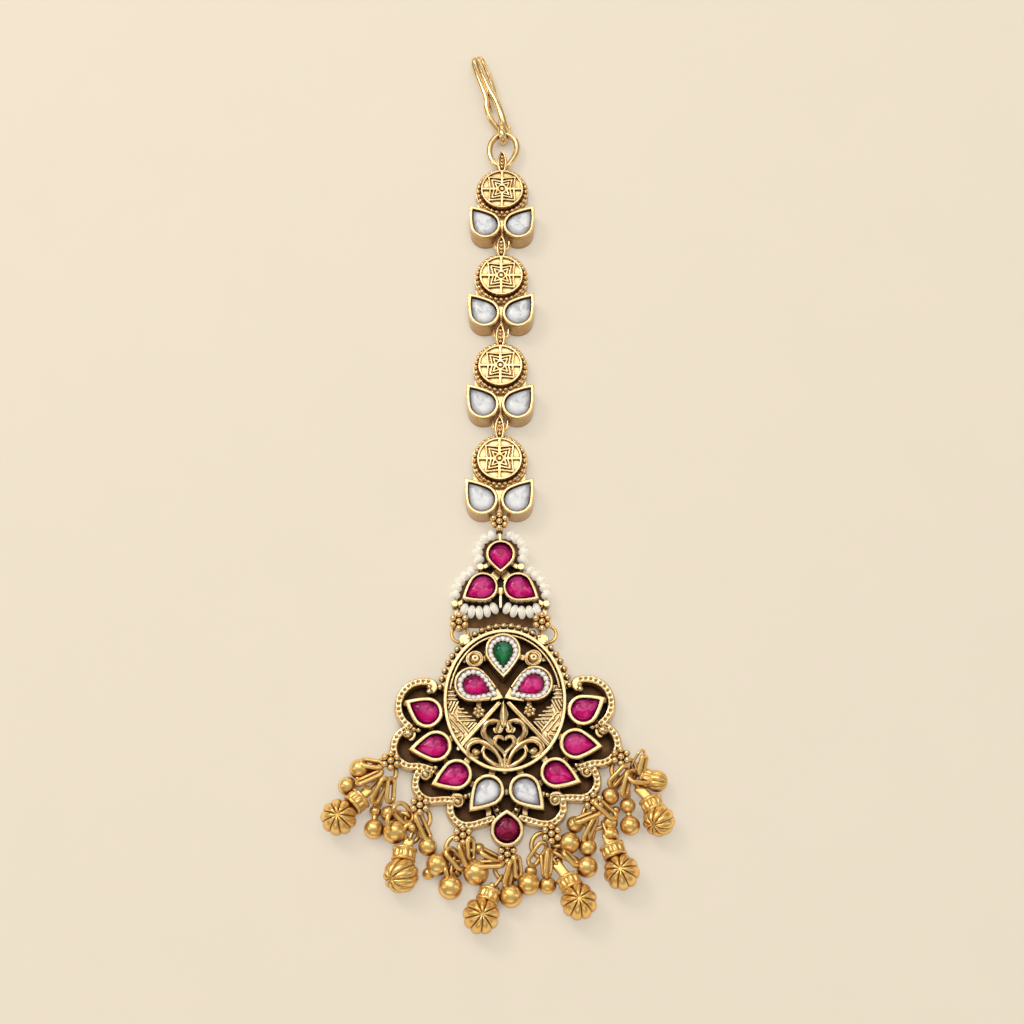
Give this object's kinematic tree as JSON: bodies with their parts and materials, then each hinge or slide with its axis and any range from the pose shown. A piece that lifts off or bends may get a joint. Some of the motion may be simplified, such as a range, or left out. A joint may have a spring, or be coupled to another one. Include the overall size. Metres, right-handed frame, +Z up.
{
  "type": "maang tikka",
  "caption": "Gold-tone maang tikka laid flat: hair hook, chain of round links with twin leaf settings, trefoil with pearls, pierced oval pendant with a fan of bezels and melon bells.",
  "frame": {"origin": "back of the pendant, under the middle of its oval, on the surface that the object lies on", "axes": "+Y along the chain towards the hair hook, +Z up out of the face of the jewel, +X to the viewer's right"},
  "size_m": [0.0597, 0.1702, 0.0062],
  "materials": {
    "antique_gold": "antique gold plate, dark in its recesses",
    "bright_gold": "polished gold plate",
    "dark_plate": "blackened brass",
    "ruby_stone": "foil-backed magenta glass",
    "green_stone": "foil-backed green glass",
    "clear_stone": "foil-backed colourless glass",
    "pearl": "cream pearl"
  },
  "bodies": {
    "root": {"bell_centre": "bright_gold", "bell_left_middle": "bright_gold", "bell_left_outer": "bright_gold", "bell_right_inner": "bright_gold", "bell_right_middle": "bright_gold", "bell_right_outer": "bright_gold", "bell_right_side": "bright_gold", "bell_ring_centre": "bright_gold", "bell_ring_left_inner": "bright_gold", "bell_ring_left_middle": "bright_gold", "bell_ring_left_outer": "bright_gold", "bell_ring_right_inner": "bright_gold", "bell_ring_right_middle": "bright_gold", "bell_ring_right_outer": "bright_gold", "connector": "antique_gold", "connector_back": "dark_plate", "connector_stone_left": "ruby_stone", "connector_stone_right": "ruby_stone", "connector_stone_top": "ruby_stone", "drop_ruby": "ruby_stone", "drops_centre": "bright_gold", "drops_left_inner": "bright_gold", "drops_left_middle": "bright_gold", "drops_left_outer": "bright_gold", "drops_right_inner": "bright_gold", "drops_right_middle": "bright_gold", "drops_right_outer": "bright_gold", "emerald": "green_stone", "fan_clear_left": "clear_stone", "fan_clear_right": "clear_stone", "fan_ruby_1_left": "ruby_stone", "fan_ruby_1_right": "ruby_stone", "fan_ruby_2_left": "ruby_stone", "fan_ruby_2_right": "ruby_stone", "fan_ruby_3_left": "ruby_stone", "fan_ruby_3_right": "ruby_stone", "halo_ruby_left": "ruby_stone", "halo_ruby_right": "ruby_stone", "halo_stones": "clear_stone", "hook": "bright_gold", "link_1": "antique_gold", "link_2": "antique_gold", "link_3": "antique_gold", "link_4": "antique_gold", "link_stones_1": "clear_stone", "link_stones_2": "clear_stone", "link_stones_3": "clear_stone", "link_stones_4": "clear_stone", "oval_ring": "bright_gold", "pearl_wires": "antique_gold", "pendant_back": "dark_plate", "pendant_frame": "antique_gold", "seed_pearls": "pearl", "side_ring_left": "bright_gold", "side_ring_right": "bright_gold", "top_ring": "bright_gold"}
  },
  "joints": []
}
